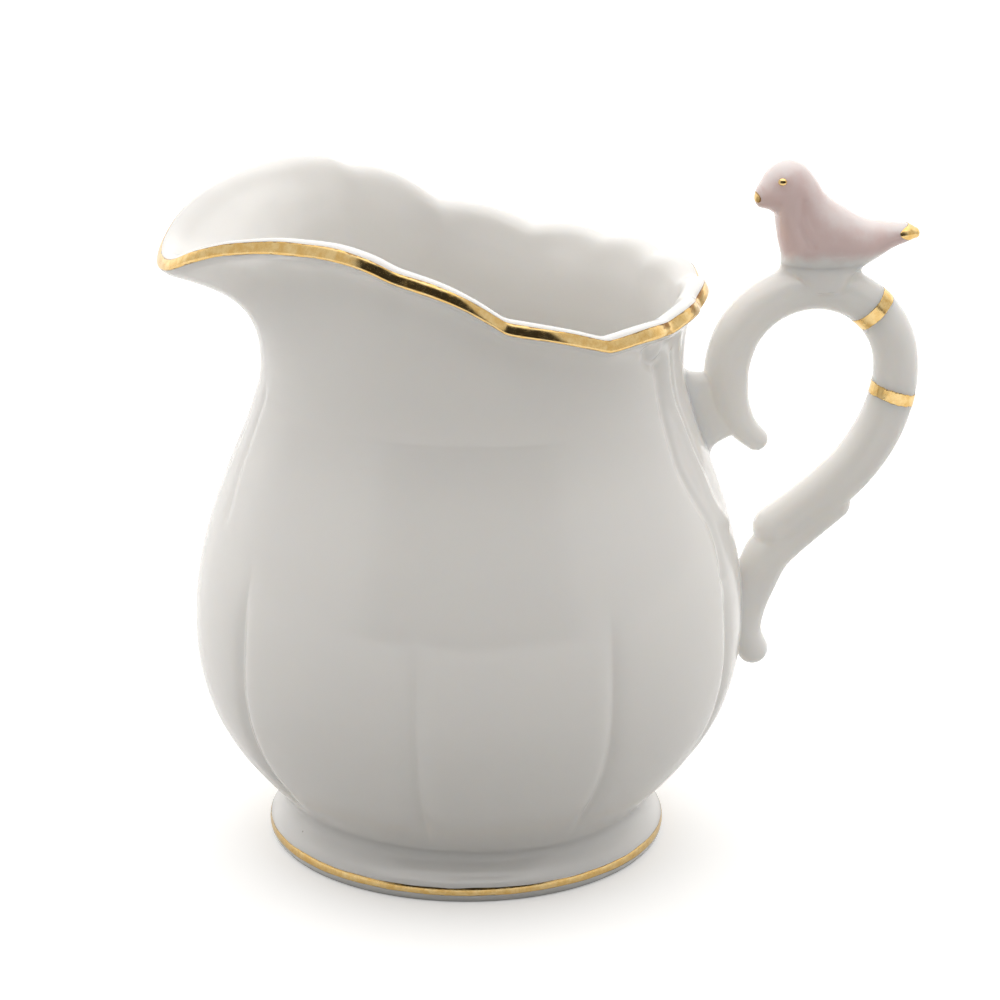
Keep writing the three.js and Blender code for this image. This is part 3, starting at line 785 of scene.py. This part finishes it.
def net(field, low, high, cell):
    """A closed mesh of quads round a field's inside: one point for each cell that its surface crosses."""
    axes = [np.arange(a - cell, b + 2 * cell, cell) for a, b in zip(low, high)]
    grid = field(*np.meshgrid(*axes, indexing="ij"))
    cells = tuple(n - 1 for n in grid.shape)
    total = np.zeros(cells + (3,))
    count = np.zeros(cells)
    crossings = []
    for axis in range(3):
        a = grid.take(range(grid.shape[axis] - 1), axis)
        b = grid.take(range(1, grid.shape[axis]), axis)
        index = np.argwhere((a < 0) != (b < 0))
        start, end = a[tuple(index.T)], b[tuple(index.T)]
        spot = index.astype(float)
        spot[:, axis] += start / (start - end)
        others = [k for k in range(3) if k != axis]
        corners = []
        for du, dv in ((0, 0), (1, 0), (1, 1), (0, 1)):
            cell_index = index.copy()
            cell_index[:, others[0]] -= du
            cell_index[:, others[1]] -= dv
            np.add.at(total, tuple(cell_index.T), spot)
            np.add.at(count, tuple(cell_index.T), 1)
            corners.append(cell_index)
        crossings.append((corners, (start < 0) == (axis != 1)))
    used = np.argwhere(count > 0)
    number = np.full(cells, -1)
    number[tuple(used.T)] = np.arange(len(used))
    points = total[tuple(used.T)] / count[tuple(used.T)][:, None]
    faces = []
    for corners, outward in crossings:
        quad = np.stack([number[tuple(c.T)] for c in corners], axis=1)
        quad[~outward] = quad[~outward][:, ::-1]
        faces.append(quad)
    origin = np.array([axis[0] for axis in axes])
    return origin + points * cell, np.vstack(faces)


def slope_of(field, points, reach):
    """The field's gradient at each point, read `reach` to either side of it."""
    parts = []
    for k in range(3):
        step = np.zeros(3)
        step[k] = reach
        parts.append((field(*(points + step).T) - field(*(points - step).T)) / (2 * reach))
    return np.stack(parts, axis=1)


def settled(field, points, cell, rounds=3):
    """Moves each point of a net onto the field's surface."""
    for _ in range(rounds):
        slope = slope_of(field, points, cell / 3)
        size = np.maximum((slope ** 2).sum(1), 0.2)
        step = -(field(*points.T) / size)[:, None] * slope
        length = np.linalg.norm(step, axis=1, keepdims=True)
        points = points + step * np.minimum(1, 0.4 * cell / np.maximum(length, 1e-9))
    return points


def skinned(field, low, high, cell):
    """Points, faces and normals of the skin round a field's inside, sought between two corners."""
    points, faces = net(field, low, high, cell)
    points = settled(field, points, cell)
    normals = slope_of(field, points, 0.12)
    normals /= np.maximum(np.linalg.norm(normals, axis=1, keepdims=True), 1e-9)
    return points, faces, normals


# ---- Handle, bird and their gilding -------------------------------------------------------------


def make_handle(white):
    def below(x, y, z):
        dip = DIP * smooth(z, BIRD_BASE, BIRD_BASE + 0.5)
        return np.maximum(luted_handle_field(x, y, z) + dip, z - BIRD_BASE - SEAM)

    points, faces, normals = skinned(below, (31, -8, 23), (73.5, 8, BIRD_BASE + SEAM), 0.34)
    nodes = ["handle_lug", "handle_upper_scroll", "handle_lower_scroll", "bird_perch"]
    make_piece("handle", points, faces, white, nodes, normals)


def make_bird(pink):
    def above(x, y, z):
        dip = DIP * smooth(-z, -BIRD_BASE, 0.5 - BIRD_BASE)
        return np.maximum(handle_field(x, y, z) + dip, BIRD_BASE - SEAM - z)

    points, faces, normals = skinned(above, (44, -6, BIRD_BASE - SEAM), (73, 6, 110), 0.26)
    # How much each point faces up, which pales the bird's pink as painted light from above.
    upward = {"upward": np.clip(normals[:, 2], 0, 1)}
    make_piece("bird", points, faces, pink, ["bird"], normals, upward)


def make_shell(name, region, low, high, cell, gold):
    """Gilding over the handle or the bird wherever `region` is negative."""
    def shell(x, y, z):
        skin = handle_field(x, y, z)
        return np.maximum(np.maximum(skin - GOLD_PROUD, -skin - GOLD_DEPTH), region(x, y, z))

    points, faces, normals = skinned(shell, low, high, cell)
    border = 1 - smooth(-region(*points.T), 0, 0.35)
    make_piece(name, points, faces, gold, [name], normals, {"border": border})


def make_band(name, angle, width, gold):
    turn = math.radians(angle)
    cx = RING_CENTRE[0] + RING_RADIUS * math.cos(turn)
    cz = RING_CENTRE[1] + RING_RADIUS * math.sin(turn)

    def region(x, y, z):
        across = (x - cx) * -math.sin(turn) + (z - cz) * math.cos(turn)
        wander = 0.06 * np.sin(2.1 * y + angle) + 0.04 * np.sin(3.7 * (x - z))
        return np.abs(across) - width / 2 + wander

    reach = ROD_RADIUS + BAND_MARGIN
    low, high = (cx - reach, -BAND_SIDE, cz - reach), (cx + reach, BAND_SIDE, cz + reach)
    make_shell(name, region, low, high, BAND_CELL, gold)


def beak_region(x, y, z):
    tip_x, tip_z = BEAK_GOLD
    away = np.sqrt((x - tip_x) ** 2 + (y / BEAK_GOLD_SPREAD) ** 2 + (z - tip_z) ** 2)
    return away - BEAK_GOLD_RADIUS


def tail_region(x, y, z):
    """Behind a curved front edge across the tail, which lies further back above and below."""
    return 68.7 + 0.9 * ((z - 96.9) / 0.9) ** 2 - x - 0.2 * np.abs(y)


def make_eye(name, side, gold):
    """A raised dot of gold with a rolled edge, set on the bird's head."""
    x, z = EYE
    reach = np.linspace(0, 5, 501)
    skin = figure_field(np.full(501, x), reach, np.full(501, z))
    y = reach[np.argmax(skin > 0)]
    centre = np.array([[x, y, z]])
    out = slope_of(figure_field, centre, 0.2)[0]
    out /= np.linalg.norm(out)
    along = np.cross(out, [0, 0, 1.0])
    along /= np.linalg.norm(along)
    up = np.cross(along, out)
    spots = []
    for radius, height in catmull(EYE_PROFILE, np.linspace(0, len(EYE_PROFILE) - 1, EYE_ROWS)):
        for k in range(EYE_ROUND):
            a = 2 * math.pi * k / EYE_ROUND
            spot = along * math.cos(a) * radius + up * math.sin(a) * radius * 0.85 + out * height * 0.9
            spots.append(centre[0] + EYE_RADIUS * spot)
    points = np.array(spots) * [1, side, 1]
    rings = np.arange(len(points)).reshape(-1, EYE_ROUND)
    if side > 0:
        rings = rings[:, ::-1]
    faces = [tuple(q) for q in lattice(rings)]
    caps = [tuple(rings[0][[0, k, k + 1]]) for k in range(1, EYE_ROUND - 1)]
    caps += [tuple(rings[-1][[0, k + 1, k]]) for k in range(1, EYE_ROUND - 1)]
    mesh = bpy.data.meshes.new(name)
    mesh.from_pydata(place(points).tolist(), [], [[int(i) for i in f] for f in faces + caps])
    mesh.shade_smooth()
    mesh.materials.append(gold)
    eye = bpy.data.objects.new(name, mesh)
    bpy.context.scene.collection.objects.link(eye)
    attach(eye, "root")
    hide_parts(name)


# ---- Materials --------------------------------------------------------------------------------


class Nodes:
    """A material's node tree with short calls."""

    def __init__(self, name):
        self.material = bpy.data.materials.new(name)
        self.material.use_nodes = True
        self.tree = self.material.node_tree
        self.shader = self.tree.nodes["Principled BSDF"]
        geometry = self.tree.nodes.new("ShaderNodeTexCoord")
        self.place = geometry.outputs["Object"]

    def add(self, kind, settings=None, **inputs):
        node = self.tree.nodes.new(kind)
        for key, value in (settings or {}).items():
            setattr(node, key, value)
        for key, value in inputs.items():
            self.feed(node.inputs[key.replace("_", " ")], value)
        return node

    def feed(self, socket, value):
        if isinstance(value, bpy.types.NodeSocket):
            self.tree.links.new(value, socket)
        else:
            socket.default_value = value

    def noise(self, size, detail=3.0, roughness=0.55):
        """Cloudy noise whose features are about `size` millimetres."""
        node = self.add("ShaderNodeTexNoise", Vector=self.place, Scale=1 / (size * MM), Detail=detail,
                        Roughness=roughness)
        return node.outputs["Fac"]

    def ramp(self, value, low, high, to_low=0.0, to_high=1.0):
        node = self.add("ShaderNodeMapRange", {"interpolation_type": "SMOOTHSTEP"}, Value=value)
        for key, number in (("From Min", low), ("From Max", high), ("To Min", to_low), ("To Max", to_high)):
            node.inputs[key].default_value = number
        return node.outputs["Result"]

    def mix(self, factor, a, b):
        node = self.add("ShaderNodeMix", {"data_type": "RGBA"})
        self.feed(node.inputs[0], factor)
        self.feed(node.inputs[6], a)
        self.feed(node.inputs[7], b)
        return node.outputs[2]

    def sum(self, a, b, operation="ADD"):
        node = self.add("ShaderNodeMath", {"operation": operation})
        self.feed(node.inputs[0], a)
        self.feed(node.inputs[1], b)
        return node.outputs[0]

    def layer(self, name):
        return self.add("ShaderNodeAttribute", {"attribute_name": name}).outputs["Fac"]

    def bump(self, height, distance_mm, strength=1.0, under=None):
        node = self.add("ShaderNodeBump", Height=height, Distance=distance_mm * MM, Strength=strength)
        if under is not None:
            self.tree.links.new(under, node.inputs["Normal"])
        return node.outputs["Normal"]

    def set(self, **values):
        for key, value in values.items():
            self.feed(self.shader.inputs[key.replace("_", " ")], value)


def specks(nodes, size, share, dot_share):
    """A few small dots: 1 where a dot is. `share` of the cells have one, dot_share of a cell in size."""
    node = nodes.add("ShaderNodeTexVoronoi", Vector=nodes.place, Scale=1 / (size * MM))
    dot = nodes.ramp(node.outputs["Distance"], 0.5 * dot_share, dot_share, 1.0, 0.0)
    chance = nodes.add("ShaderNodeSeparateColor", Color=node.outputs["Color"]).outputs[0]
    return nodes.sum(dot, nodes.ramp(chance, 1 - share - 0.001, 1 - share), "MULTIPLY")


def glaze_finish(nodes, tint):
    """Colour, gloss and surface shared by the glazes: pooling, faint specks and a fired ripple."""
    pooled = nodes.mix(nodes.ramp(nodes.noise(14, 4), 0.35, 0.7), tint, GLAZE_COOL)
    dotted = nodes.mix(nodes.sum(specks(nodes, 4.0, 0.03, 0.05), 0.55, "MULTIPLY"), pooled, GLAZE_SPECK)
    ripple = nodes.noise(5.5, 2, 0.4)
    peel = nodes.noise(0.7, 2)
    first = nodes.bump(ripple, 0.02, 0.6)
    return dotted, nodes.ramp(nodes.noise(9, 3), 0.3, 0.7, 0.07, 0.13), nodes.bump(peel, 0.0018, 1.0, first)


def translucent(nodes, weight, depth_mm):
    """Light goes a little way into porcelain, and shows more where the piece is slender."""
    nodes.set(Subsurface_Weight=weight, Subsurface_Scale=depth_mm * MM, Subsurface_Radius=(1.0, 0.9, 0.8))


def white_glaze(name, weight, depth_mm):
    nodes = Nodes(name)
    base, rough, normal = glaze_finish(nodes, GLAZE_WARM)
    nodes.set(Base_Color=base, Roughness=rough, Normal=normal, IOR=1.5)
    translucent(nodes, weight, depth_mm)
    return nodes.material


def pink_glaze():
    """Pink wash under the glaze: mottled, paled on upward faces as painted light, gone at the bird's base.
    """
    nodes = Nodes("pink_glaze")
    height = nodes.add("ShaderNodeSeparateXYZ", Vector=nodes.place).outputs["Z"]
    cloud = nodes.noise(2.6, 4, 0.6)
    uneven = nodes.sum(height, nodes.sum(nodes.sum(cloud, 0.5, "SUBTRACT"), 0.0022, "MULTIPLY"))
    wash = nodes.ramp(uneven, *PINK_WASH)
    mottled = nodes.sum(nodes.sum(nodes.noise(3.4, 5, 0.65), 0.5, "SUBTRACT"), 1.1, "MULTIPLY")
    # Painted light: faces that look up get the paler pink as if lit from above, mixed with random mottle.
    mottle_and_painted_top_light = nodes.ramp(nodes.sum(nodes.layer("upward"), mottled), 0.0, 0.9)
    pink = nodes.mix(mottle_and_painted_top_light, PINK, PINK_PALE)
    base, rough, normal = glaze_finish(nodes, GLAZE_WARM)
    nodes.set(Base_Color=nodes.mix(wash, base, pink), Roughness=rough, Normal=normal, IOR=1.5)
    translucent(nodes, *BIRD_LIGHT)
    return nodes.material


def gold_lustre():
    """Burnished gold: brushed on, thin and brown at its borders, with pinholes."""
    nodes = Nodes("gold_lustre")
    cloud = nodes.noise(1.3, 4, 0.6)
    gold = nodes.mix(nodes.ramp(cloud, 0.3, 0.7), GOLD_DEEP, GOLD_BRIGHT)
    uneven = nodes.sum(nodes.sum(cloud, 0.5, "SUBTRACT"), 0.7, "MULTIPLY")
    border = nodes.sum(nodes.layer("border"), uneven)
    edged = nodes.mix(nodes.ramp(border, 0.8, 1.05), gold, GOLD_BROWN)
    pitted = nodes.mix(specks(nodes, 1.6, 0.1, 0.1), edged, GOLD_PIT)
    rough = nodes.ramp(nodes.noise(0.8, 3), 0.3, 0.75, 0.1, 0.24)
    brush = nodes.bump(nodes.noise(0.5, 3), 0.004, 1.0)
    nodes.set(Base_Color=pitted, Metallic=1.0, Roughness=rough, Normal=brush)
    return nodes.material


def floor_paper():
    """Pale paper, which the camera and reflections see, over the mid grey that lights the jug."""
    nodes = Nodes("floor_paper")
    seen = nodes.mix(nodes.noise(40, 3), PAPER_DARK, PAPER_PALE)
    path = nodes.add("ShaderNodeLightPath").outputs
    direct = nodes.sum(path["Is Camera Ray"], path["Is Glossy Ray"], "MAXIMUM")
    nodes.set(Base_Color=nodes.mix(direct, FLOOR_BOUNCE, seen), Roughness=0.9)
    glow = nodes.sum(path["Is Camera Ray"], FLOOR_GLOW, "MULTIPLY")
    nodes.set(Emission_Color=WHITE, Emission_Strength=glow)
    nodes.shader.inputs["Specular IOR Level"].default_value = 0.1
    return nodes.material


# ---- Stage ------------------------------------------------------------------------------------


def view_axes():
    """The camera's own right, up and backward directions."""
    turn, lift, roll = (math.radians(v) for v in (CAMERA_AZIMUTH, CAMERA_ELEVATION, CAMERA_ROLL))
    back = Vector((math.sin(turn) * math.cos(lift), -math.cos(turn) * math.cos(lift), math.sin(lift)))
    right = Vector((math.cos(turn), math.sin(turn), 0))
    up = back.cross(right)
    tilted_right = right * math.cos(roll) + up * math.sin(roll)
    return tilted_right, back.cross(tilted_right), back


def make_camera():
    right, up, back = view_axes()
    camera = bpy.data.cameras.new("camera")
    camera.lens = CAMERA_LENS
    camera.sensor_width = 36
    camera.clip_end = 20
    holder = bpy.data.objects.new("camera", camera)
    bpy.context.scene.collection.objects.link(holder)
    axes = Matrix((right, up, back)).transposed().to_4x4()
    spot = Vector(place(CAMERA_TARGET).tolist()) + back * CAMERA_DISTANCE * MM
    holder.matrix_world = Matrix.Translation(spot) @ axes
    bpy.context.scene.camera = holder


def make_floor():
    half = FLOOR_SIZE / 2
    mesh = bpy.data.meshes.new("floor")
    corners = [(-half, -half, 0), (half, -half, 0), (half, half, 0), (-half, half, 0)]
    mesh.from_pydata(corners, [], [(0, 1, 2, 3)])
    mesh.materials.append(floor_paper())
    floor = bpy.data.objects.new("floor", mesh)
    bpy.context.scene.collection.objects.link(floor)


def make_room():
    """A white room round the jug with a dark opening where the photographer stands."""
    world = bpy.data.worlds.new("room")
    bpy.context.scene.world = world
    world.use_nodes = True
    tree = world.node_tree
    turn = math.radians(CAMERA_AZIMUTH)

    def vector_math(operation, value, second=None):
        node = tree.nodes.new("ShaderNodeVectorMath")
        node.operation = operation
        tree.links.new(value, node.inputs[0])
        if second is not None:
            node.inputs[1].default_value = second
        return node

    def ramp(value, low, high, start, end):
        """start below low and end above high, either a number or another node's output."""
        node = tree.nodes.new("ShaderNodeMapRange")
        node.interpolation_type = "SMOOTHSTEP"
        for key, number in (("Value", value), ("From Min", low), ("From Max", high), ("To Min", start),
                            ("To Max", end)):
            if isinstance(number, bpy.types.NodeSocket):
                tree.links.new(number, node.inputs[key])
            else:
                node.inputs[key].default_value = number
        return node.outputs["Result"]

    def cosines(angle):
        return math.cos(math.radians(angle + SOFT_EDGE)), math.cos(math.radians(angle - SOFT_EDGE))

    def sines(angle):
        return math.sin(math.radians(angle - SOFT_EDGE)), math.sin(math.radians(angle + SOFT_EDGE))

    way = tree.nodes.new("ShaderNodeTexCoord").outputs["Generated"]
    level = vector_math("NORMALIZE", vector_math("MULTIPLY", way, (1, 1, 0)).outputs[0]).outputs[0]
    facing = vector_math("DOT_PRODUCT", level, (math.sin(turn), -math.cos(turn), 0)).outputs["Value"]
    split = tree.nodes.new("ShaderNodeSeparateXYZ")
    tree.links.new(way, split.inputs[0])
    walls = ramp(facing, *BEHIND_TO_BESIDE, WALL_BEHIND, WALL_BESIDE)
    walls = ramp(facing, *cosines(OPENING_HALF_ANGLE), walls, OPENING)
    light = ramp(split.outputs["Z"], *sines(OPENING_TOP), walls, CEILING)
    tree.links.new(light, tree.nodes["Background"].inputs["Strength"])
    tree.nodes["Background"].inputs["Color"].default_value = ROOM_TINT
    bpy.context.scene.view_settings.view_transform = "Standard"


# ---- Assembly -----------------------------------------------------------------------------------


def main():
    make_camera()
    make_room()
    make_floor()
    pink, gold = pink_glaze(), gold_lustre()
    make_body_and_foot(white_glaze("white_glaze", *BODY_LIGHT), gold)
    make_handle(white_glaze("white_glaze_slender", *HANDLE_LIGHT))
    make_bird(pink)
    for name, (angle, width) in BANDS.items():
        make_band(name, angle, width, gold)
    make_shell("bird_beak_gilding", beak_region, (44.6, -2.4, 101.4), (47.8, 2.4, 105), 0.1, gold)
    make_shell("bird_tail_gilding", tail_region, (67.5, -3.2, 94), (72.8, 3.2, 99.4), 0.13, gold)
    make_eye("bird_eye_left", -1, gold)
    make_eye("bird_eye_right", 1, gold)


main()
